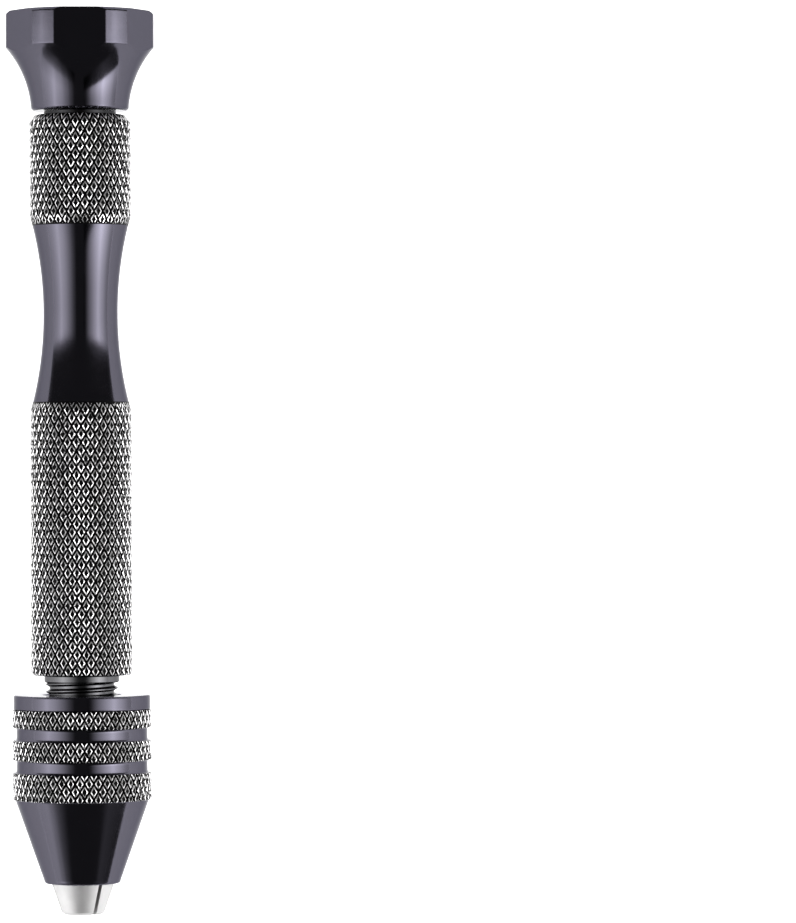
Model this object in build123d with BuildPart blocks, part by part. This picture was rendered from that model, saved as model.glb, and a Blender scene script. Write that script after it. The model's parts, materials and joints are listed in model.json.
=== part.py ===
"""Pin vise drill: a swivel-headed hand drill with a keyless three-jaw chuck.

The tool lies on its side, as it does on a bench. Its axis runs along Y, the jaws point to -Y, and it
rests on one flat of the head and on the knurled rings of the chuck. The origin is on the bench under
its middle.

All sizes are millimetres. A name that ends in _at is a distance along the tool's axis, from the face
of the head towards the jaws. An angle around the axis starts at +X and goes towards +Z.
"""

import os
from math import cos, pi, radians, sin, tan

from build123d import *

# ---------------------------------------------------------------- driving dimensions
overall_length = 122.6
chuck_radius = 9.45  # over the crests of the knurled rings
flat_distance = chuck_radius  # from the axis to a flat of the head, so that the tool lies level
axis_height = chuck_radius
running_gap = 0.04  # between surfaces that slide on each other
face_gap = 0.02  # between end faces that turn against each other

# swivel head
head_radius = 10.07
head_rim_at = 4.86
head_end_at = 13.45
head_neck_radius = 6.62
head_flare_through = (8.1, 7.95)
head_edge = 0.35
flat_count = 6
cover_radius = 7.0
cover_thickness = 1.2

# swivel bearing, a small deep-groove ball bearing of 3 x 10 x 4
bearing_bore_radius = 1.5
bearing_radius = 5.0
bearing_width = 4.0
bearing_at = 3.7
ball_radius = 0.79
ball_count = 7
ball_circle_radius = 3.25
race_clearance = 0.05
inner_land_radius = 2.7
outer_land_radius = 3.8
shield_thickness = 0.2
shield_inset = 0.15
shield_inner_radius = 2.85
shield_seat_radius = 4.1
cage_inner_radius = 3.03
cage_outer_radius = 3.47
cage_width = 2.5

# swivel screw, an M3 button head screw
screw_radius = 1.5
screw_head_radius = 2.85
screw_head_height = 1.65
screw_length = 17.5
hex_key_apothem = 1.0
hex_key_depth = 1.0
washer_radius = 2.6
washer_thickness = 0.5
spacer_radius = 2.5
spacer_flange_radius = 4.9  # of the flange that fills the gap between the head and the handle
spacer_flange_gap = 0.1  # between that flange and the head
head_bore_radius = 2.9

# handle
handle_at = 14.0
waist_start_at = 27.6
waist_end_at = 54.4
handle_end_at = 90.1
grip_radius = 6.9
grip_edge = (1.0, 0.8)  # along the axis and across it
waist_radius = 5.06
shank_bore_radius = 2.2
shank_bore_start_at = 56.0

# threaded spindle, M10 x 1
collar_radius = 5.1
collar_length = 1.0
collar_edge = 0.14
spindle_shank_radius = 4.0
spindle_shank_length = 12.0
spindle_end_at = 105.8
thread_pitch = 1.0
thread_crest_radius = 4.9
thread_root_radius = 4.4
thread_crest_width = 0.125
thread_flank_slope = tan(radians(30))
thread_clearance = 0.1  # along the axis on each flank
thread_radial_clearance = 0.12

# chuck
shell_tilt = radians(18.9)  # of the cone that closes the jaws
end_ring_at = 92.8
end_ring_radius = 9.3
shell_at = 94.8
shell_bore_radius = 7.6
end_ring_thread_end_at = 100.6
end_ring_edge = 0.15
nose_at = 118.4
nose_radius = 5.2
nose_bore_radius = 4.37
nose_round = 0.35
knurl_rings = ((shell_at, 97.2), (98.95, 101.6), (103.35, 107.0))  # where each ring starts and ends
knurl_edge = 0.15
groove_radius = 8.9
cone_start_radius = 9.1

# jaws
jaw_count = 3
first_slit_angle = 54
slit_width = 0.55
jaw_back_at = 106.6
jaw_back_radius = 5.9
jaw_tip_edge = 0.3
grip_bore_radius = 0.4
grip_length = 8.0
jaw_relief_radius = 1.2
thrust_washer_radius = 7.4
thrust_washer_thickness = 0.78

# jaw springs
spring_at = 109.6
spring_radius = 0.55
spring_wire_radius = 0.1
spring_turns = 6
spring_hole_radius = 0.8
spring_hole_depth = 1.7
spring_hole_along_face = 3.9

# ---------------------------------------------------------------- planes
along = Vector(0, -1, 0)  # from the head to the jaws


def on_axis(at):
    """The point of the tool's axis at that distance from the face of the head."""
    return Vector(0, overall_length / 2 - at, axis_height)


def direction(angle):
    """The unit vector that points away from the axis at that angle in degrees."""
    return Vector(cos(radians(angle)), 0, sin(radians(angle)))


def across(at):
    """A plane square to the axis, facing the jaws."""
    return Plane(on_axis(at), x_dir=(1, 0, 0), z_dir=along)


def facing_head(at):
    """A plane square to the axis, facing the head."""
    return Plane(on_axis(at), x_dir=(1, 0, 0), z_dir=-along)


def lengthwise(angle=90, offset=Vector(0, 0, 0)):
    """A half plane through the axis: its x is the distance along the tool and its y is the radius."""
    return Plane(on_axis(0) + offset, x_dir=along, z_dir=along.cross(direction(angle)))


tool_axis = Axis(on_axis(0), along)
half_plane = lengthwise()


def export(piece, name):
    """Labels a finished piece and writes it."""
    piece.part.label = name
    export_step(piece.part, f"parts/{name}.step")


os.makedirs("parts", exist_ok=True)

# ---------------------------------------------------------------- swivel head
with BuildPart() as swivel_head:
    with BuildSketch(half_plane):
        with BuildLine():
            Polyline(
                (head_rim_at, head_radius),
                (head_edge, head_radius),
                (0, head_radius - head_edge),
                (0, 0),
                (head_end_at, 0),
                (head_end_at, head_neck_radius),
            )
            ThreePointArc(
                (head_rim_at, head_radius),
                head_flare_through,
                (head_end_at, head_neck_radius),
            )
        make_face()
    revolve(axis=tool_axis)
    with BuildSketch(across(0)):
        Circle(head_radius + 1)
        RegularPolygon(flat_distance, flat_count, major_radius=False, mode=Mode.SUBTRACT)
    extrude(amount=head_end_at, mode=Mode.SUBTRACT)
    with Locations(facing_head(0)):
        Hole(cover_radius, cover_thickness)
        Hole(bearing_radius, bearing_at + bearing_width)
        Hole(head_bore_radius)
    chamfer(swivel_head.edges().filter_by(GeomType.CIRCLE).sort_by(Axis.Y)[:2], 0.3)
export(swivel_head, "swivel_head")

# A thin disc pressed into the head's face covers the screw and the bearing.
with BuildPart() as head_cover:
    with BuildSketch(facing_head(cover_thickness)):
        Circle(cover_radius)
    extrude(amount=cover_thickness)
    chamfer(head_cover.faces().sort_by(Axis.Y)[-1].edges(), 0.15)
export(head_cover, "head_cover")

# ---------------------------------------------------------------- swivel bearing
bearing_end_at = bearing_at + bearing_width
bearing_middle_at = bearing_at + bearing_width / 2
race_radius = ball_radius + race_clearance

with BuildPart() as bearing_inner_ring:
    with BuildSketch(across(bearing_at)):
        Circle(inner_land_radius)
        Circle(bearing_bore_radius, mode=Mode.SUBTRACT)
    extrude(amount=bearing_width)
    with Locations(across(bearing_middle_at)):
        Torus(ball_circle_radius, race_radius, mode=Mode.SUBTRACT)
export(bearing_inner_ring, "bearing_inner_ring")

with BuildPart() as bearing_outer_ring:
    with BuildSketch(across(bearing_at)):
        Circle(bearing_radius)
        Circle(outer_land_radius, mode=Mode.SUBTRACT)
    extrude(amount=bearing_width)
    with Locations(across(bearing_middle_at)):
        Torus(ball_circle_radius, race_radius, mode=Mode.SUBTRACT)
    shield_seat_depth = shield_inset + shield_thickness
    with Locations(facing_head(bearing_at), across(bearing_end_at)):
        Hole(shield_seat_radius, shield_seat_depth)
export(bearing_outer_ring, "bearing_outer_ring")

shield_places = {
    "bearing_shield_rear": bearing_at + shield_inset,
    "bearing_shield_front": bearing_end_at - shield_seat_depth,
}
for name, shield_at in shield_places.items():
    with BuildPart() as shield:
        with BuildSketch(across(shield_at)):
            Circle(shield_seat_radius)
            Circle(shield_inner_radius, mode=Mode.SUBTRACT)
        extrude(amount=shield_thickness)
    export(shield, name)

with BuildPart() as bearing_balls:
    with Locations(across(bearing_middle_at)):
        with PolarLocations(ball_circle_radius, ball_count):
            Sphere(ball_radius)
export(bearing_balls, "bearing_balls")

with BuildPart() as bearing_cage:
    with BuildSketch(across(bearing_middle_at)):
        Circle(cage_outer_radius)
        Circle(cage_inner_radius, mode=Mode.SUBTRACT)
    extrude(amount=cage_width / 2, both=True)
    with Locations(across(bearing_middle_at)):
        with PolarLocations(ball_circle_radius, ball_count):
            Cylinder(race_radius, 2, rotation=(0, 90, 0), mode=Mode.SUBTRACT)
export(bearing_cage, "bearing_cage")

# ---------------------------------------------------------------- swivel screw, washer and spacer
washer_at = bearing_at - washer_thickness
screw_head_at = washer_at - screw_head_height

with BuildPart() as swivel_screw:
    with BuildSketch(half_plane):
        with BuildLine():
            Polyline(
                (washer_at, screw_head_radius),
                (washer_at, screw_radius),
                (washer_at + screw_length - head_edge, screw_radius),
                (washer_at + screw_length, screw_radius - head_edge),
                (washer_at + screw_length, 0),
                (screw_head_at, 0),
                (screw_head_at, screw_head_radius / 2),
            )
            RadiusArc(
                (screw_head_at, screw_head_radius / 2),
                (washer_at, screw_head_radius),
                -screw_head_radius,
            )
        make_face()
    revolve(axis=tool_axis)
    with BuildSketch(facing_head(screw_head_at)):
        RegularPolygon(hex_key_apothem, 6, major_radius=False)
    extrude(amount=-hex_key_depth, mode=Mode.SUBTRACT)
export(swivel_screw, "swivel_screw")

with BuildPart() as screw_washer:
    with BuildSketch(across(washer_at)):
        Circle(washer_radius)
        Circle(screw_radius, mode=Mode.SUBTRACT)
    extrude(amount=washer_thickness)
export(screw_washer, "screw_washer")

with BuildPart() as bearing_spacer:
    with BuildSketch(across(bearing_end_at)):
        Circle(spacer_radius)
    extrude(amount=handle_at - bearing_end_at)
    with BuildSketch(across(head_end_at + spacer_flange_gap)):
        Circle(spacer_flange_radius)
    extrude(amount=handle_at - head_end_at - spacer_flange_gap)
    with Locations(facing_head(bearing_end_at)):
        Hole(screw_radius, handle_at - bearing_end_at)
export(bearing_spacer, "bearing_spacer")

# ---------------------------------------------------------------- handle
waist_middle_at = (waist_start_at + waist_end_at) / 2

with BuildPart() as handle_body:
    with BuildSketch(half_plane):
        with BuildLine():
            Polyline(
                (waist_start_at, grip_radius),
                (handle_at + grip_edge[0], grip_radius),
                (handle_at, grip_radius - grip_edge[1]),
                (handle_at, 0),
                (handle_end_at, 0),
                (handle_end_at, grip_radius - 0.2),
                (handle_end_at - 0.2, grip_radius),
                (waist_end_at, grip_radius),
            )
            ThreePointArc(
                (waist_start_at, grip_radius),
                (waist_middle_at, waist_radius),
                (waist_end_at, grip_radius),
            )
        make_face()
    revolve(axis=tool_axis)
    with Locations(facing_head(handle_at)):
        Hole(screw_radius, washer_at + screw_length - handle_at + 1)
    with Locations(across(handle_end_at)):
        Hole(spindle_shank_radius, spindle_shank_length)
        Hole(shank_bore_radius, handle_end_at - shank_bore_start_at)
export(handle_body, "handle_body")

# ---------------------------------------------------------------- threaded spindle
thread_at = handle_end_at + collar_length
thread_start_at = thread_at - thread_pitch / 2
thread_half_crest = thread_crest_width / 2


def thread_half_width(radius):
    """Half the width of the spindle's thread at that radius."""
    return thread_half_crest + (thread_crest_radius - radius) * thread_flank_slope


def thread_ridge(start_at, end_at, offset, section, kept):
    """A helical ridge of a thread.

    The section is drawn as (distance, radius) with its distances from start_at + offset, and kept is the
    outline the ridge is trimmed to.
    """
    with BuildPart() as ridge:
        with BuildLine() as path:
            Helix(thread_pitch, end_at - start_at, section[0][1], on_axis(start_at), along)
        outward = (path.line @ 0 - on_axis(start_at)).normalized()
        with BuildSketch(Plane(on_axis(start_at), x_dir=along, z_dir=along.cross(outward))):
            with BuildLine():
                Polyline([(offset + distance, radius) for distance, radius in section], close=True)
            make_face()
        sweep(path=path.line, is_frenet=True)
        with BuildSketch(half_plane):
            with BuildLine():
                Polyline(kept, close=True)
            make_face()
        revolve(axis=tool_axis, mode=Mode.INTERSECT)
    return ridge.part


ridge_foot = thread_root_radius - 0.1
lead_in = 0.6
spindle_ridge = thread_ridge(
    thread_start_at,
    spindle_end_at + thread_pitch / 2,
    0,
    (
        (-thread_half_width(ridge_foot), ridge_foot),
        (-thread_half_crest, thread_crest_radius),
        (thread_half_crest, thread_crest_radius),
        (thread_half_width(ridge_foot), ridge_foot),
    ),
    (
        (thread_at - 0.3, ridge_foot - 0.1),
        (thread_at - 0.3, thread_crest_radius + 0.1),
        (spindle_end_at - lead_in, thread_crest_radius + 0.1),
        (spindle_end_at, thread_crest_radius + 0.1 - lead_in),
        (spindle_end_at, ridge_foot - 0.1),
    ),
)

with BuildPart() as threaded_spindle:
    with BuildSketch(lengthwise(270)):
        with BuildLine():
            shank_at = handle_end_at - spindle_shank_length
            Polyline(
                (shank_at, shank_bore_radius),
                (shank_at, spindle_shank_radius),
                (handle_end_at, spindle_shank_radius),
                (handle_end_at, collar_radius - collar_edge),
                (handle_end_at + collar_edge, collar_radius),
                (thread_at - collar_edge, collar_radius),
                (thread_at, collar_radius - collar_edge),
                (thread_at, thread_root_radius),
                (spindle_end_at, thread_root_radius),
                (spindle_end_at, shank_bore_radius),
                close=True,
            )
        make_face()
    revolve(axis=tool_axis)
    add(spindle_ridge)
export(threaded_spindle, "threaded_spindle")

# ---------------------------------------------------------------- chuck
nut_crest_radius = thread_root_radius + thread_radial_clearance
nut_root_radius = thread_crest_radius + thread_radial_clearance


def nut_half_width(radius):
    """Half the width of the end ring's thread at that radius, in the groove of the spindle's thread."""
    return thread_pitch / 2 - thread_half_width(radius) - thread_clearance


nut_ridge_foot = nut_root_radius + 0.1
nut_ridge_start_at = end_ring_at - thread_pitch / 2
turns_ahead = (nut_ridge_start_at - thread_start_at) / thread_pitch
nut_mouth = 0.4
nut_ridge = thread_ridge(
    nut_ridge_start_at,
    end_ring_thread_end_at + thread_pitch / 2,
    (0.5 - turns_ahead % 1) * thread_pitch,
    (
        (-nut_half_width(nut_crest_radius), nut_crest_radius),
        (-nut_half_width(nut_ridge_foot), nut_ridge_foot),
        (nut_half_width(nut_ridge_foot), nut_ridge_foot),
        (nut_half_width(nut_crest_radius), nut_crest_radius),
    ),
    (
        (end_ring_at + nut_mouth - 0.1, nut_ridge_foot + 0.1),
        (end_ring_at + 2 * nut_mouth + 0.1, nut_root_radius - nut_mouth),
        (end_ring_at + 2 * nut_mouth + 0.1, nut_crest_radius - 0.1),
        (end_ring_thread_end_at - 2 * nut_mouth - 0.1, nut_crest_radius - 0.1),
        (end_ring_thread_end_at - 2 * nut_mouth - 0.1, nut_root_radius - nut_mouth),
        (end_ring_thread_end_at - nut_mouth + 0.1, nut_ridge_foot + 0.1),
    ),
)

# The end ring carries the nut's thread. Its tube is pressed into the shell's bore once the jaws are in.
with BuildPart() as chuck_end_ring:
    with BuildSketch(half_plane):
        with BuildLine():
            Polyline(
                (end_ring_at, nut_root_radius + nut_mouth),
                (end_ring_at, end_ring_radius - end_ring_edge),
                (end_ring_at + end_ring_edge, end_ring_radius),
                (shell_at - end_ring_edge, end_ring_radius),
                (shell_at, end_ring_radius - end_ring_edge),
                (shell_at, shell_bore_radius),
                (end_ring_thread_end_at, shell_bore_radius),
                (end_ring_thread_end_at, nut_root_radius + nut_mouth),
                (end_ring_thread_end_at - nut_mouth, nut_root_radius),
                (end_ring_at + nut_mouth, nut_root_radius),
                close=True,
            )
        make_face()
    revolve(axis=tool_axis)
    add(nut_ridge)
export(chuck_end_ring, "chuck_end_ring")

nose_cone_at = nose_at - (shell_bore_radius - nose_bore_radius) / tan(shell_tilt)

with BuildPart() as chuck_shell:
    with BuildSketch(half_plane):
        with BuildLine():
            Polyline(
                (nose_at - nose_round, nose_radius),
                (knurl_rings[-1][1], cone_start_radius),
                (knurl_rings[-1][1], groove_radius),
                (shell_at, groove_radius),
                (shell_at, shell_bore_radius),
                (nose_cone_at, shell_bore_radius),
                (nose_at, nose_bore_radius),
                (nose_at, nose_radius - nose_round),
            )
            ThreePointArc(
                (nose_at, nose_radius - nose_round),
                (nose_at - nose_round * 0.293, nose_radius - nose_round * 0.293),
                (nose_at - nose_round, nose_radius),
            )
        make_face()
        for ring_at, ring_end_at in knurl_rings:
            with BuildLine():
                Polyline(
                    (ring_at, groove_radius),
                    (ring_at, chuck_radius - knurl_edge),
                    (ring_at + knurl_edge, chuck_radius),
                    (ring_end_at - knurl_edge, chuck_radius),
                    (ring_end_at, chuck_radius - knurl_edge),
                    (ring_end_at, groove_radius),
                    close=True,
                )
            make_face()
    revolve(axis=tool_axis)
export(chuck_shell, "chuck_shell")

# ---------------------------------------------------------------- jaws
# A jaw is a third of a cone as it stands when the chuck is shut, moved out by jaw_opening.
jaw_opening = slit_width / 2 / sin(radians(60))
jaw_sector = 360 / jaw_count
jaw_cone_at_nose = nose_bore_radius - running_gap - jaw_opening
jaw_shoulder_at = nose_at - (jaw_back_radius - jaw_cone_at_nose) / tan(shell_tilt)
jaw_tip_radius = jaw_cone_at_nose - (overall_length - nose_at) * tan(shell_tilt)
slit_angles = [first_slit_angle + turn * jaw_sector for turn in range(jaw_count)]
spring_length = slit_width + 2 * (spring_hole_depth - spring_wire_radius - running_gap)


def spring_plane(slit_angle):
    """A plane in the middle of a slit, square to the spring that crosses it."""
    distance = spring_hole_along_face + jaw_opening / 2
    return Plane(
        on_axis(spring_at) + direction(slit_angle) * distance,
        x_dir=along,
        z_dir=direction(slit_angle + 90),
    )


for number, slit_angle in enumerate(slit_angles, 1):
    outward = direction(slit_angle + jaw_sector / 2) * jaw_opening
    with BuildPart() as jaw:
        with BuildSketch(lengthwise(slit_angle, outward)):
            with BuildLine():
                Polyline(
                    (jaw_back_at, 0),
                    (jaw_back_at, jaw_back_radius),
                    (jaw_shoulder_at, jaw_back_radius),
                    (overall_length - jaw_tip_edge, jaw_tip_radius + jaw_tip_edge * tan(shell_tilt)),
                    (overall_length, jaw_tip_radius - jaw_tip_edge),
                    (overall_length, 0),
                    close=True,
                )
            make_face()
        revolve(axis=Axis(on_axis(0) + outward, along), revolution_arc=jaw_sector)
        with BuildSketch(across(overall_length)):
            Circle(grip_bore_radius)
        extrude(amount=-(overall_length - jaw_back_at), mode=Mode.SUBTRACT)
        with BuildSketch(across(overall_length - grip_length)):
            Circle(jaw_relief_radius)
        extrude(amount=-(overall_length - grip_length - jaw_back_at), mode=Mode.SUBTRACT)
        for side in (slit_angle, slit_angle + jaw_sector):
            with BuildSketch(spring_plane(side)):
                Circle(spring_hole_radius)
            extrude(amount=slit_width / 2 + spring_hole_depth, both=True, mode=Mode.SUBTRACT)
    export(jaw, f"jaw_{number}")

    with BuildPart() as jaw_spring:
        with BuildLine() as coil:
            middle = spring_plane(slit_angle)
            start = middle.origin - middle.z_dir * (spring_length / 2)
            Helix(spring_length / spring_turns, spring_length, spring_radius, start, middle.z_dir)
        with BuildSketch(Plane(coil.line @ 0, z_dir=coil.line % 0)):
            Circle(spring_wire_radius)
        sweep(path=coil.line, is_frenet=True)
    export(jaw_spring, f"jaw_spring_{number}")

with BuildPart() as thrust_washer:
    with BuildSketch(across(spindle_end_at + face_gap)):
        Circle(thrust_washer_radius)
        Circle(shank_bore_radius, mode=Mode.SUBTRACT)
    extrude(amount=thrust_washer_thickness - face_gap)
export(thrust_washer, "thrust_washer")

# ---------------------------------------------------------------- how the chuck moves
tightest_opening = 0.03
widest_bit_radius = 1.7
close_travel = (jaw_opening - tightest_opening) / tan(shell_tilt)
open_travel = (widest_bit_radius - grip_bore_radius) / tan(shell_tilt)
print("ring travel to close and to open", round(close_travel, 4), round(open_travel, 4))
print("turns", round(close_travel / thread_pitch, 4), round(open_travel / thread_pitch, 4))
print("ring travel per radian", round(thread_pitch / (2 * pi), 6))
print("jaw travel per radian", round(thread_pitch / (2 * pi) * tan(shell_tilt), 6))
print("jaw angles", [angle + jaw_sector / 2 for angle in slit_angles], "jaw tip radius", round(jaw_tip_radius, 3))
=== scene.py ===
"""Pin vise drill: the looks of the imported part, on a pale bench under two long softboxes.

The turned pieces' sizes are in millimetres, and the bench, light and camera are in metres. A name that ends
in _AT is a distance in millimetres along the tool's axis, from the face of the head towards the jaws, as in
the part's own source.
"""

import json
import math

import bpy
import numpy as np
from mathutils import Matrix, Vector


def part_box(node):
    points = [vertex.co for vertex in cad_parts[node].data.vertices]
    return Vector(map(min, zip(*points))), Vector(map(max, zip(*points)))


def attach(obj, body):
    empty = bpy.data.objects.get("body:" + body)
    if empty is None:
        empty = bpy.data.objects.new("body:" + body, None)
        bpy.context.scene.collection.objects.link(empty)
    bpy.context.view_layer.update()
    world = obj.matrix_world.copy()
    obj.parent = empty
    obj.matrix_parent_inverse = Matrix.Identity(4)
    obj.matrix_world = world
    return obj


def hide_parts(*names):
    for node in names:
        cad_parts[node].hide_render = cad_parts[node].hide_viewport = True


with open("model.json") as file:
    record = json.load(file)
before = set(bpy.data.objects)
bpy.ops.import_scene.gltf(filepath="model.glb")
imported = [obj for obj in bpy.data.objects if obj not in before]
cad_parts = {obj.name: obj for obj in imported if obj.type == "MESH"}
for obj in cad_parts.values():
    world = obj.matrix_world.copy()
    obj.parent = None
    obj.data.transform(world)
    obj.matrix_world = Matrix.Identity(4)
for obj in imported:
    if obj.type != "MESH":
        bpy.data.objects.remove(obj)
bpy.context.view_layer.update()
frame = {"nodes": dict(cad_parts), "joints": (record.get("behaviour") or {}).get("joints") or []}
MM = 0.001

# ---------------------------------------------------------------- places read from the frame
AXIS_HEIGHT = frame["joints"][0]["pos_m"][2]
HEAD_FACE_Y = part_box("swivel_head")[1][1]
CREST_RADIUS = (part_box("chuck_shell")[1][0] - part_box("chuck_shell")[0][0]) / 2 / MM
GRIP_RADIUS = (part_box("handle_body")[1][0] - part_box("handle_body")[0][0]) / 2 / MM

# ---------------------------------------------------------------- the turned pieces' sizes, in millimetres
HANDLE_AT = 14.0
HANDLE_EDGE = (1.0, 0.8)  # at the head's end, along the axis and across it
HANDLE_END_EDGE = 0.2
WAIST_START_AT = 27.6
WAIST_END_AT = 54.4
WAIST_RADIUS = 5.06
BARE_WAIST = (29.05, 53.0)  # the knurling stops at these, a little way down the waist
HANDLE_END_AT = 90.1
SCREW_HOLE_RADIUS = 1.5
SCREW_HOLE_END_AT = 21.7
SPINDLE_SEAT_AT = 78.1
SPINDLE_SEAT_RADIUS = 4.0
SHANK_BORE_RADIUS = 2.2
SHANK_BORE_START_AT = 56.0

SHELL_AT = 94.8
NOSE_AT = 118.4
NOSE_RADIUS = 5.2
NOSE_BORE_RADIUS = 4.37
NOSE_ROUND = 0.35
SHELL_BORE_RADIUS = 7.6
SHELL_TILT = math.radians(18.9)
CONE_START_RADIUS = 9.1
GROOVE_RADIUS = 8.9
GROOVE_ROUND = 0.4
KNURL_RINGS = ((SHELL_AT, 97.2), (98.95, 101.6), (103.35, 107.0))
KNURL_EDGE = 0.15

# ---------------------------------------------------------------- the knurls
GRIP_STARTS = 34  # grooves round the handle, each way
GRIP_DEPTH = 0.26
RING_STARTS = 47
RING_DEPTH = 0.28
DIAMOND_ANGLE = math.radians(30)  # of the grooves, from the tool's axis
DIVISIONS = 10  # of one diamond's mesh, each way
LEAST_ROW_GAP = 0.03
SHARP_ANGLE = math.radians(38)  # edges sharper than this aren't shaded smooth
# At these shares of the way across a diamond, from a groove's bottom to the diamond's middle:
PROFILE_PLACES = (0, 0.1, 0.2, 0.3, 0.5)
PROFILE_DEPTHS = (1, 0.5, 0.14, 0.03, 0)
WEAR_PLACES = (0, 0.1, 0.2, 0.3)
WEAR_MARKS = (0, 0.3, 1, 0)
WEAR_FADE = (0.3, 0.4)  # the wear ends as the outline falls this far below the crests


# ---------------------------------------------------------------- knurled and turned meshes
class Knurl:
    """Diamonds pressed into a cylinder: two families of helical grooves that cross.

    Up to edge_end_at the diamonds follow the piece's rounded-off edge. Elsewhere they fade where it gets
    thinner.
    """

    def __init__(self, start_at, end_at, crest, starts, depth, edge_end_at=0):
        self.start_at, self.end_at, self.edge_end_at = start_at, end_at, edge_end_at
        self.crest, self.starts, self.depth = crest, starts, depth
        self.pitch = 2 * math.pi * crest / starts / math.tan(DIAMOND_ANGLE)

    def rows(self):
        """The distances at which the mesh needs a row of points."""
        step = self.pitch / DIVISIONS
        count = int((self.end_at - self.start_at) / step)
        return [self.start_at + step * row for row in range(count + 1)] + [self.end_at]

    def groove_distance(self, angle, at):
        """How far a point is from the nearest groove, from 0 in its bottom to 0.5 between two."""
        around = angle * self.starts / (2 * math.pi)
        along = (at - self.start_at) / self.pitch
        one_way = np.abs(around + along - np.round(around + along))
        other_way = np.abs(around - along - np.round(around - along))
        return np.minimum(one_way, other_way)

    def fall(self, angle, at):
        """How deep the knurl lies: a rounded V for each groove and a slight crown on each diamond."""
        distance = self.groove_distance(angle, at)
        return self.depth * np.interp(distance, PROFILE_PLACES, PROFILE_DEPTHS)

    def radius_and_mark(self, angles, at, limit):
        """The knurled surface's radius under an outline's radius limit, and where its edges wear bright."""
        mark = np.interp(self.groove_distance(angles, at), WEAR_PLACES, WEAR_MARKS)
        if at < self.edge_end_at:
            return limit - self.fall(angles, at), mark
        faded = np.interp(self.crest - limit, WEAR_FADE, (1, 0))
        return np.minimum(limit, self.crest - self.fall(angles, at)), mark * faded


def arc_points(start, middle, end, count):
    """Points along the arc through three points, without its two ends."""
    (ax, ay), (bx, by), (cx, cy) = start, middle, end
    d = 2 * (ax * (by - cy) + bx * (cy - ay) + cx * (ay - by))
    a2, b2, c2 = ax * ax + ay * ay, bx * bx + by * by, cx * cx + cy * cy
    x = (a2 * (by - cy) + b2 * (cy - ay) + c2 * (ay - by)) / d
    y = (a2 * (cx - bx) + b2 * (ax - cx) + c2 * (bx - ax)) / d
    radius = math.hypot(ax - x, ay - y)
    first, last = math.atan2(ay - y, ax - x), math.atan2(cy - y, cx - x)
    angles = np.linspace(first, last, count + 2)[1:-1]
    return [(x + radius * math.cos(a), y + radius * math.sin(a)) for a in angles]


def knurled_outline(outline, knurl):
    """The stretch of an outline that a knurl covers, as rows of (distance, radius, knurl)."""
    inside = [at for at, _ in outline if knurl.start_at < at < knurl.end_at]
    distances = sorted(knurl.rows() + inside)
    kept = [distances[0]]
    for at in distances[1:]:
        if at - kept[-1] > LEAST_ROW_GAP:
            kept.append(at)
    kept[-1] = knurl.end_at
    radii = np.interp(kept, [at for at, _ in outline], [radius for _, radius in outline])
    return [(at, radius, knurl) for at, radius in zip(kept, radii)]


def plain(points):
    """Outline points as rows with no knurl."""
    return [(at, radius, None) for at, radius in points]


def turned(name, rows, columns):
    """A closed mesh turned about the tool's axis, from rows of (distance, radius limit, knurl)."""
    angles = np.arange(columns) * 2 * math.pi / columns
    vertices, crest_marks, rings = [], [], []
    for at, limit, knurl in rows:
        if limit == 0:
            rings.append([len(vertices)])
            vertices.append((0, HEAD_FACE_Y - at * MM, AXIS_HEIGHT))
            crest_marks.append(0)
            continue
        radius, mark = np.full(columns, limit), np.zeros(columns)
        if knurl:
            radius, mark = knurl.radius_and_mark(angles, at, limit)
        rings.append(range(len(vertices), len(vertices) + columns))
        for angle, r in zip(angles, radius):
            x, z = r * MM * math.cos(angle), r * MM * math.sin(angle)
            vertices.append((x, HEAD_FACE_Y - at * MM, AXIS_HEIGHT + z))
        crest_marks.extend(mark)
    faces, slots = [], []
    pairs = list(zip(range(len(rows)), range(1, len(rows))))
    if rows[0][1] and rows[-1][1]:
        pairs.append((len(rows) - 1, 0))
    for first, second in pairs:
        faces.extend(band(rings[first], rings[second], rows[first], rows[second], columns))
        in_knurl = bool(rows[first][2] and rows[second][2])
        slots.extend([int(in_knurl)] * (len(faces) - len(slots)))
    mesh = bpy.data.meshes.new(name)
    mesh.from_pydata(vertices, [], faces)
    mesh.materials.append(smooth_black)
    mesh.materials.append(knurled_black)
    mesh.polygons.foreach_set("material_index", slots)
    mesh.attributes.new("crest", "FLOAT", "POINT").data.foreach_set("value", crest_marks)
    mesh.shade_smooth()
    mesh.set_sharp_from_angle(angle=SHARP_ANGLE)
    piece = bpy.data.objects.new(name, mesh)
    bpy.context.scene.collection.objects.link(piece)
    return piece


def band(ring, next_ring, row, next_row, columns):
    """The faces between two rings. In a knurl each is cut along the diagonal that follows its groove."""
    at, knurl = row[0], row[2]
    next_at = next_row[0]
    faces = []
    for column in range(columns):
        after = (column + 1) % columns
        if len(ring) == 1:
            faces.append((ring[0], next_ring[column], next_ring[after]))
            continue
        if len(next_ring) == 1:
            faces.append((ring[column], next_ring[0], ring[after]))
            continue
        a, b, c, d = ring[column], next_ring[column], next_ring[after], ring[after]
        if not (knurl and next_row[2]):
            faces.append((a, b, c, d))
            continue
        step = 2 * math.pi / columns
        angle = column * step
        middle = knurl.fall(angle + step / 2, (at + next_at) / 2)
        one = (knurl.fall(angle, at) + knurl.fall(angle + step, next_at)) / 2
        other = (knurl.fall(angle, next_at) + knurl.fall(angle + step, at)) / 2
        if abs(one - middle) <= abs(other - middle):
            faces.extend([(a, b, c), (a, c, d)])
        else:
            faces.extend([(a, b, d), (b, c, d)])
    return faces


def straight(start, end, shares=(0.02, 0.25, 0.5, 0.75, 0.98)):
    """Plain rows along a straight run, with rows close to its ends so that its shading stays straight."""
    (at, radius), (end_at, end_radius) = start, end
    return [(at + share * (end_at - at), radius + share * (end_radius - radius), None) for share in shares]


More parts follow.
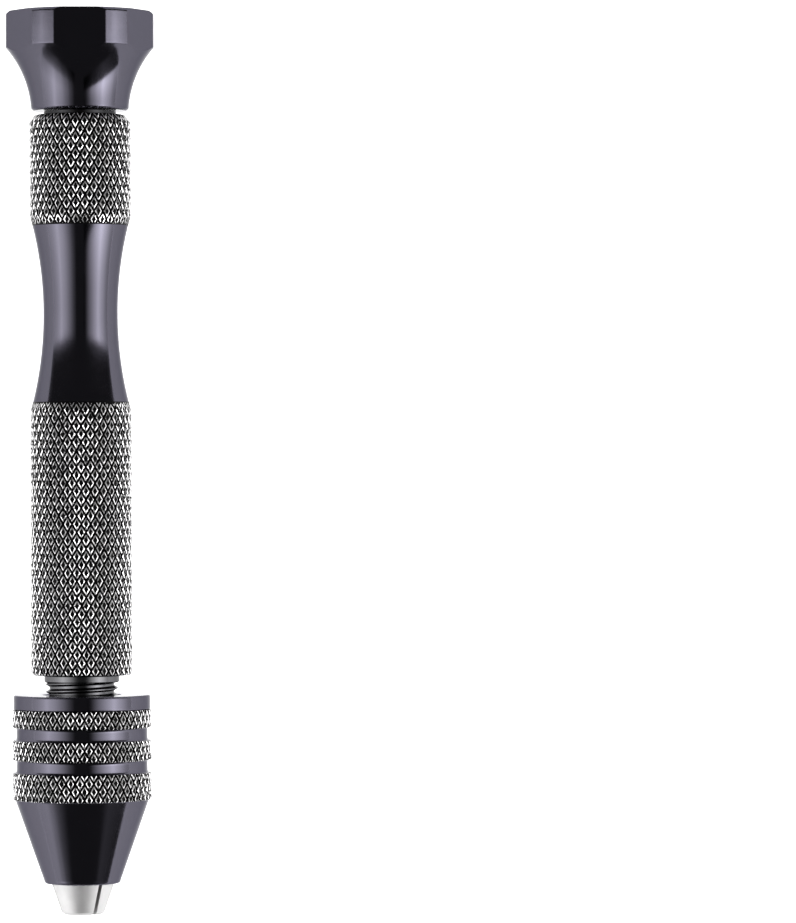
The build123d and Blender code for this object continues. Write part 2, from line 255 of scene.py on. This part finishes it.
def corner(start, bend, end, count=3):
    """Plain rows round a quarter circle that leaves start and reaches end, with bend as its square corner."""
    rows = []
    for turn in np.linspace(0, math.pi / 2, count + 2):
        toward_start, toward_end = 1 - math.sin(turn), 1 - math.cos(turn)
        at = bend[0] + toward_start * (start[0] - bend[0]) + toward_end * (end[0] - bend[0])
        radius = bend[1] + toward_start * (start[1] - bend[1]) + toward_end * (end[1] - bend[1])
        rows.append((at, radius, None))
    return rows


def make_handle():
    """The handle: knurled rear grip, waist and knurled front grip, with its holes."""
    inset = 0.1
    bare_at, bare_end_at = BARE_WAIST
    edge_end_at = HANDLE_AT + HANDLE_EDGE[0]
    rear = Knurl(HANDLE_AT + inset, bare_at, GRIP_RADIUS, GRIP_STARTS, GRIP_DEPTH, edge_end_at)
    front = Knurl(bare_end_at, HANDLE_END_AT - inset, GRIP_RADIUS, GRIP_STARTS, GRIP_DEPTH)
    waist_ends = ((WAIST_START_AT, GRIP_RADIUS), (WAIST_END_AT, GRIP_RADIUS))
    waist_middle = ((WAIST_START_AT + WAIST_END_AT) / 2, WAIST_RADIUS)
    arc = arc_points(waist_ends[0], waist_middle, waist_ends[1], 80)
    before = [point for point in arc if point[0] < bare_at]
    after = [point for point in arc if point[0] > bare_end_at]
    bare = [point for point in arc if bare_at + 0.05 < point[0] < bare_end_at - 0.05]
    rear_outline = [
        (HANDLE_AT, GRIP_RADIUS - HANDLE_EDGE[1]),
        (edge_end_at, GRIP_RADIUS),
        waist_ends[0],
        *before,
        bare[0],
    ]
    front_outline = [
        bare[-1],
        *after,
        waist_ends[1],
        (HANDLE_END_AT - HANDLE_END_EDGE, GRIP_RADIUS),
        (HANDLE_END_AT, GRIP_RADIUS - HANDLE_END_EDGE),
    ]
    below_knurl = 0.3
    rows = plain([(SCREW_HOLE_END_AT, 0), (SCREW_HOLE_END_AT, SCREW_HOLE_RADIUS)])
    rows += plain([(HANDLE_AT, SCREW_HOLE_RADIUS)])
    rows += plain([(HANDLE_AT, GRIP_RADIUS - HANDLE_EDGE[1] - below_knurl)])
    rows += knurled_outline(rear_outline, rear)
    rows += plain(bare)
    rows += knurled_outline(front_outline, front)
    rows += plain([(HANDLE_END_AT, GRIP_RADIUS - below_knurl), (HANDLE_END_AT, SPINDLE_SEAT_RADIUS)])
    rows += plain([(SPINDLE_SEAT_AT, SPINDLE_SEAT_RADIUS), (SPINDLE_SEAT_AT, SHANK_BORE_RADIUS)])
    rows += plain([(SHANK_BORE_START_AT, SHANK_BORE_RADIUS), (SHANK_BORE_START_AT, 0)])
    return turned("handle", rows, GRIP_STARTS * DIVISIONS)


def make_shell():
    """The chuck's shell: three knurled rings, two grooves and the nose cone, with its bore."""
    below_knurl = 0.5
    rows = plain([(SHELL_AT, SHELL_BORE_RADIUS), (SHELL_AT, CREST_RADIUS - below_knurl)])
    for number, (ring_at, ring_end_at) in enumerate(KNURL_RINGS):
        outline = (
            (ring_at, CREST_RADIUS - KNURL_EDGE),
            (ring_at + KNURL_EDGE, CREST_RADIUS),
            (ring_end_at - KNURL_EDGE, CREST_RADIUS),
            (ring_end_at, CREST_RADIUS - KNURL_EDGE),
        )
        ring = Knurl(ring_at, ring_end_at, CREST_RADIUS, RING_STARTS, RING_DEPTH)
        rows += knurled_outline(outline, ring)
        if number + 1 < len(KNURL_RINGS):
            next_at = KNURL_RINGS[number + 1][0]
            wall_radius = GROOVE_RADIUS + GROOVE_ROUND / 2
            floor = (ring_end_at + GROOVE_ROUND, GROOVE_RADIUS)
            floor_end = (next_at - GROOVE_ROUND, GROOVE_RADIUS)
            rows += corner((ring_end_at, wall_radius), (ring_end_at, GROOVE_RADIUS), floor)
            rows += straight(floor, floor_end, (0.1, 0.9))
            rows += corner(floor_end, (next_at, GROOVE_RADIUS), (next_at, wall_radius))
    cone_start = (KNURL_RINGS[-1][1], CONE_START_RADIUS)
    nose = (NOSE_AT - NOSE_ROUND, NOSE_RADIUS)
    rim = (NOSE_AT, NOSE_RADIUS - NOSE_ROUND)
    inset = NOSE_ROUND * 0.293  # of the middle of a quarter circle from its square corner
    bend = (NOSE_AT - inset, NOSE_RADIUS - inset)
    rows += plain([cone_start]) + straight(cone_start, nose)
    rows += plain([nose, *arc_points(nose, bend, rim, 4), rim])
    rows += plain([(NOSE_AT, NOSE_BORE_RADIUS + 0.02), (NOSE_AT, NOSE_BORE_RADIUS)])
    cone_at = NOSE_AT - (SHELL_BORE_RADIUS - NOSE_BORE_RADIUS) / math.tan(SHELL_TILT)
    rows += plain([(cone_at, SHELL_BORE_RADIUS)])
    return turned("shell", rows, RING_STARTS * DIVISIONS)


# ---------------------------------------------------------------- materials
class Nodes:
    """A material's node tree, with object coordinates in millimetres."""

    def __init__(self, name):
        self.material = bpy.data.materials.new(name)
        self.material.use_nodes = True
        self.tree = self.material.node_tree
        self.shader = self.tree.nodes["Principled BSDF"]
        coordinates = self.add("ShaderNodeTexCoord").outputs["Object"]
        self.mm = self.scaled(coordinates, (1 / MM, 1 / MM, 1 / MM))

    def add(self, kind, **settings):
        node = self.tree.nodes.new(kind)
        for key, value in settings.items():
            setattr(node, key, value)
        return node

    def link(self, source, target):
        self.tree.links.new(source, target)

    def scaled(self, vector, scale):
        node = self.add("ShaderNodeVectorMath", operation="MULTIPLY")
        self.link(vector, node.inputs[0])
        node.inputs[1].default_value = scale
        return node.outputs[0]

    def noise(self, scale, detail=3.0, grain=(1, 1, 1)):
        """Noise with its scale in cycles a millimetre, and more of them along an axis where grain is larger."""
        node = self.add("ShaderNodeTexNoise")
        self.link(self.scaled(self.mm, grain), node.inputs["Vector"])
        node.inputs["Scale"].default_value = scale
        node.inputs["Detail"].default_value = detail
        return node.outputs["Fac"]

    def remap(self, value, low, high, to_low, to_high):
        """The value's range from low to high, laid over to_low to to_high and held at its ends."""
        node = self.add("ShaderNodeMapRange")
        self.link(value, node.inputs["Value"])
        for socket, number in zip(("From Min", "From Max", "To Min", "To Max"), (low, high, to_low, to_high)):
            node.inputs[socket].default_value = number
        return node.outputs["Result"]

    def math(self, operation, first, second):
        node = self.add("ShaderNodeMath", operation=operation)
        for socket, value in zip(node.inputs, (first, second)):
            if isinstance(value, (int, float)):
                socket.default_value = value
            else:
                self.link(value, socket)
        return node.outputs[0]

    def mix(self, share, first, second):
        node = self.add("ShaderNodeMix", data_type="RGBA")
        self.link(share, node.inputs["Factor"])
        for socket, value in ((node.inputs[6], first), (node.inputs[7], second)):
            if isinstance(value, tuple):
                socket.default_value = (*value, 1)
            else:
                self.link(value, socket)
        return node.outputs[2]

    def bump(self, height, strength, distance, rounding=0):
        """Fine relief, over edges that look rounded to that radius in millimetres."""
        node = self.add("ShaderNodeBump")
        node.inputs["Strength"].default_value = strength
        node.inputs["Distance"].default_value = distance
        self.link(height, node.inputs["Height"])
        if rounding:
            edge = self.add("ShaderNodeBevel", samples=8)
            edge.inputs["Radius"].default_value = rounding * MM
            self.link(edge.outputs[0], node.inputs["Normal"])
        self.link(node.outputs[0], self.shader.inputs["Normal"])


ANODISED = (0.068, 0.065, 0.082)
PRESSED = (0.002, 0.002, 0.0022)
BARE = (0.97, 0.96, 0.97)


def anodised(name):
    """Glossy black anodised aluminium with fine turning marks."""
    nodes = Nodes(name)
    shader = nodes.shader
    shader.inputs["Metallic"].default_value = 1
    shader.inputs["Specular Tint"].default_value = (0.55, 0.55, 0.57, 1)
    cloud = nodes.noise(0.35, 4)
    nodes.link(nodes.mix(cloud, ANODISED, tuple(1.06 * c for c in ANODISED)), shader.inputs["Base Color"])
    nodes.link(nodes.remap(cloud, 0.3, 0.7, 0.1, 0.14), shader.inputs["Roughness"])
    nodes.bump(nodes.noise(1.0, 2, (0.25, 14, 0.25)), 0.05, 0.02 * MM, rounding=0.3)
    return nodes.material


def knurled(name):
    """A knurl in black anodised aluminium: dull in its grooves, bare metal along the diamonds' worn edges."""
    nodes = Nodes(name)
    shader = nodes.shader
    shader.inputs["Specular IOR Level"].default_value = 0.06
    shader.inputs["Specular Tint"].default_value = (0.55, 0.55, 0.55, 1)
    crest = nodes.add("ShaderNodeAttribute", attribute_name="crest").outputs["Fac"]
    worn = nodes.math("MULTIPLY", crest, nodes.remap(nodes.noise(2.2, 3), 0.35, 0.6, 0.6, 1.35))
    share = nodes.remap(worn, 0.5, 0.75, 0, 1)
    nodes.link(nodes.mix(share, PRESSED, BARE), shader.inputs["Base Color"])
    nodes.link(share, shader.inputs["Metallic"])
    nodes.link(nodes.remap(share, 0, 1, 0.45, 0.3), shader.inputs["Roughness"])
    nodes.bump(nodes.noise(6.0, 3), 0.1, 0.02 * MM)
    return nodes.material


def steel(name, colour, low, high, grain_scales, bump_strength=0.25):
    """Machined steel, as rough as low to high. grain_scales sets which way its grain runs."""
    nodes = Nodes(name)
    nodes.shader.inputs["Metallic"].default_value = 1
    nodes.shader.inputs["Specular Tint"].default_value = (0.6, 0.6, 0.6, 1)
    grain = nodes.noise(1.0, 4, grain_scales)
    tone = nodes.mix(nodes.noise(0.6, 3), tuple(0.85 * c for c in colour), colour)
    nodes.link(tone, nodes.shader.inputs["Base Color"])
    nodes.link(nodes.remap(grain, 0.3, 0.7, low, high), nodes.shader.inputs["Roughness"])
    nodes.bump(grain, bump_strength, 0.01 * MM)
    return nodes.material


def dress(node, material):
    """Gives a CAD node its material."""
    slots = frame["nodes"][node].material_slots
    for slot in slots:
        slot.material = material


# ---------------------------------------------------------------- the pieces
smooth_black = anodised("black_anodised")
knurled_black = knurled("black_anodised_knurl")

handle = make_handle()
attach(handle, "handle")
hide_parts("handle_body")

shell = make_shell()
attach(shell, "sleeve")
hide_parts("chuck_shell")

TURNED_GRAIN = (0.3, 16, 0.3)
CROSSED_GRAIN = (3, 3, 3)
black_steel = steel("black_oxide_steel", (0.1, 0.1, 0.105), 0.15, 0.22, TURNED_GRAIN, 0.1)
# A darker copy of the black oxide steel for the bearing spacer in the gap between head and handle: the gap's
# shade is painted into its colour.
painted_shade_steel = steel("black_oxide_steel_painted_shade", (0.03, 0.03, 0.032), 0.2, 0.3, TURNED_GRAIN, 0.1)
jaw_steel = steel("jaw_steel", (0.6, 0.595, 0.595), 0.56, 0.62, (9, 0.5, 9), 0.1)
bearing_steel = steel("bearing_steel", (0.72, 0.72, 0.74), 0.06, 0.12, TURNED_GRAIN, 0.05)
pressed_steel = steel("pressed_steel", (0.55, 0.55, 0.56), 0.25, 0.4, CROSSED_GRAIN)
spring_steel = steel("spring_steel", (0.45, 0.45, 0.47), 0.2, 0.3, CROSSED_GRAIN)
for material, nodes_in_it in (
    (smooth_black, ("swivel_head", "head_cover", "chuck_end_ring")),
    (black_steel, ("threaded_spindle", "swivel_screw")),
    (painted_shade_steel, ("bearing_spacer",)),
    (jaw_steel, ("jaw_1", "jaw_2", "jaw_3")),
    (bearing_steel, ("bearing_inner_ring", "bearing_outer_ring", "bearing_balls")),
    (pressed_steel, ("bearing_cage", "bearing_shield_rear", "bearing_shield_front")),
    (pressed_steel, ("screw_washer", "thrust_washer")),
    (spring_steel, ("jaw_spring_1", "jaw_spring_2", "jaw_spring_3")),
):
    for node in nodes_in_it:
        dress(node, material)


# ---------------------------------------------------------------- bench, light and camera
def make_floor():
    """A large pale bench top just under the part, a little lit from within so that it stays evenly white."""
    bpy.ops.mesh.primitive_plane_add(size=3, location=(0, 0, -0.0001))
    floor = bpy.context.object
    floor.name = "bench"
    nodes = Nodes("bench")
    tone = nodes.mix(nodes.noise(0.02, 2), (0.9, 0.9, 0.9), (0.92, 0.92, 0.92))
    nodes.link(tone, nodes.shader.inputs["Base Color"])
    nodes.shader.inputs["Roughness"].default_value = 0.8
    nodes.shader.inputs["Specular IOR Level"].default_value = 0.1
    nodes.shader.inputs["Emission Color"].default_value = (1, 1, 1, 1)
    nodes.shader.inputs["Emission Strength"].default_value = BENCH_GLOW
    floor.data.materials.append(nodes.material)


def softbox(name, profile, shares):
    """A curved sheet of light round the tool.

    profile holds (angle from straight above towards +X in degrees, radiance). shares holds (place along the
    tool in metres, share of that radiance). Both rise in their first number. Towards the jaws the sheet is
    slanted: it reaches further at its foot than overhead.
    """
    angles = np.linspace(profile[0][0], profile[-1][0], 41)
    places = np.linspace(shares[0][0], shares[-1][0], 41)
    radiances = np.interp(angles, *zip(*profile))
    marks = np.outer(np.interp(places, *zip(*shares)), radiances).ravel()
    vertices = []
    for y in places:
        for angle in np.radians(angles):
            x, z = SOFTBOX_DISTANCE * math.sin(angle), SOFTBOX_DISTANCE * math.cos(angle)
            slant = 0.5 + 0.52 * abs(angle) if y < 0 else 1
            vertices.append((x, y * slant, AXIS_HEIGHT + z))
    count = len(angles)
    corners = [row * count + column for row in range(len(places) - 1) for column in range(count - 1)]
    faces = [(i, i + 1, i + count + 1, i + count) for i in corners]
    mesh = bpy.data.meshes.new(name)
    mesh.from_pydata(vertices, [], faces)
    mesh.attributes.new("radiance", "FLOAT", "POINT").data.foreach_set("value", marks)
    sheet = bpy.data.objects.new(name, mesh)
    bpy.context.scene.collection.objects.link(sheet)
    material = bpy.data.materials.new(name)
    material.use_nodes = True
    tree = material.node_tree
    tree.nodes.clear()
    radiance = tree.nodes.new("ShaderNodeAttribute")
    radiance.attribute_name = "radiance"
    light = tree.nodes.new("ShaderNodeEmission")
    tree.links.new(radiance.outputs["Fac"], light.inputs["Strength"])
    tree.links.new(light.outputs[0], tree.nodes.new("ShaderNodeOutputMaterial").inputs["Surface"])
    mesh.materials.append(material)
    sheet.visible_camera = False


def make_world():
    """A room that is dark overhead and pale near the horizon."""
    world = bpy.data.worlds.new("room")
    world.use_nodes = True
    tree = world.node_tree
    height = tree.nodes.new("ShaderNodeSeparateXYZ")
    tree.links.new(tree.nodes.new("ShaderNodeTexCoord").outputs["Generated"], height.inputs[0])
    tree.nodes["Background"].inputs["Color"].default_value = (1, 1, 1, 1)
    fade = tree.nodes.new("ShaderNodeMapRange")
    for socket, value in zip(("From Min", "From Max", "To Min", "To Max"), (0.02, 0.15, 0.25, 0.08)):
        fade.inputs[socket].default_value = value
    tree.links.new(height.outputs["Z"], fade.inputs["Value"])
    tree.links.new(fade.outputs["Result"], tree.nodes["Background"].inputs["Strength"])
    bpy.context.scene.world = world


def make_camera():
    """A long lens straight above the tool, turned so that the tool stands at the left of the view."""
    height = 0.748
    tool_from_centre = 0.04315
    view_length = 0.1257
    roll = math.radians(-0.2)
    camera = bpy.data.cameras.new("camera")
    camera.sensor_width = 36
    camera.lens = camera.sensor_width * height / view_length
    camera.clip_start = 0.01
    camera.clip_end = 20
    stand = bpy.data.objects.new("camera", camera)
    stand.location = (0, 0.00005, AXIS_HEIGHT + height)
    turn = Matrix.Rotation(-math.atan(tool_from_centre / height), 3, "Y") @ Matrix.Rotation(roll, 3, "Z")
    stand.rotation_euler = turn.to_euler()
    bpy.context.scene.collection.objects.link(stand)
    bpy.context.scene.camera = stand


SOFTBOX_DISTANCE = 0.6
BENCH_GLOW = 1.15
LEFT_PROFILE = (
    (-91, 2.1),
    (-79, 2.5),
    (-66, 3.5),
    (-61, 4.3),
    (-57, 3.6),
    (-46, 2.8),
    (-33, 1.5),
    (-22, 0.5),
    (-12, 0.04),
)
RIGHT_PROFILE = (
    (9, 0.02),
    (15, 0.1),
    (21, 0.6),
    (35, 2.2),
    (48, 3.9),
    (55, 5.2),
    (62, 4.2),
    (73, 3.0),
    (83, 1.8),
    (91, 1.5),
)
LEFT_SHARES = (
    (-0.72, 0.05),
    (-0.55, 0.17),
    (-0.45, 0.4),
    (-0.4, 0.85),
    (-0.3, 1.05),
    (-0.22, 1.2),
    (-0.08, 1.1),
    (0.02, 1),
    (0.11, 1.15),
)
RIGHT_SHARES = (
    (-0.6, 0.05),
    (-0.3, 0.08),
    (-0.28, 1.65),
    (-0.22, 1.7),
    (-0.15, 1.4),
    (-0.05, 1.05),
    (0.07, 1),
    (0.115, 1.3),
)

make_floor()
softbox("softbox_left", LEFT_PROFILE, LEFT_SHARES)
softbox("softbox_right", RIGHT_PROFILE, RIGHT_SHARES)
make_world()
make_camera()
bpy.context.scene.view_settings.view_transform = "Standard"
